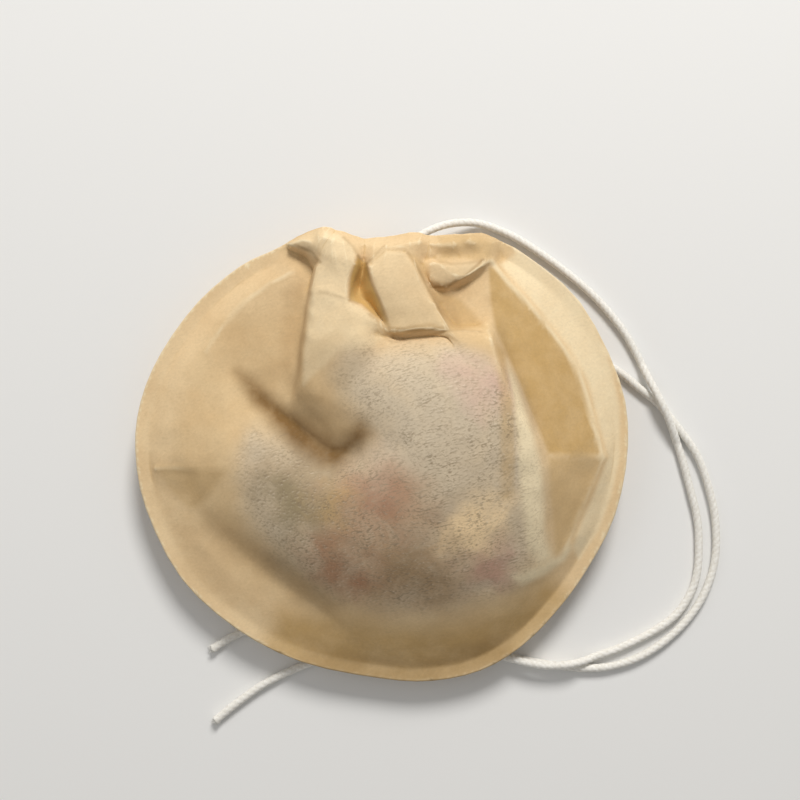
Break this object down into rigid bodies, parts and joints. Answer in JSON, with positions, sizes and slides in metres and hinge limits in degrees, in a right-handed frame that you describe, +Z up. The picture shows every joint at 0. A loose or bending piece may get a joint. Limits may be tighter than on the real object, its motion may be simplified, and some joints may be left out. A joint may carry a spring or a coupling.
{
  "type": "drawstring tea bag",
  "caption": "Round bag of thin filter paper, filled with dried flowers and leaves, gathered and drawn shut by a cotton string.",
  "frame": {"origin": "on the resting surface, under the middle of the bag's outline", "axes": "+X across the bag, +Y towards the mouth with its string, +Z up from the surface that the bag lies on"},
  "size_m": [0.0946, 0.0828, 0.0207],
  "materials": {
    "filter_paper": "thin unbleached filter paper, matt, with long fibres",
    "dried_flowers": "dry petals and leaves, matt",
    "cotton_string": "twisted white cotton, matt"
  },
  "bodies": {
    "root": {"front_panel": "filter_paper", "back_panel": "filter_paper", "tea_filling": "dried_flowers", "drawstring": "cotton_string"}
  },
  "joints": []
}
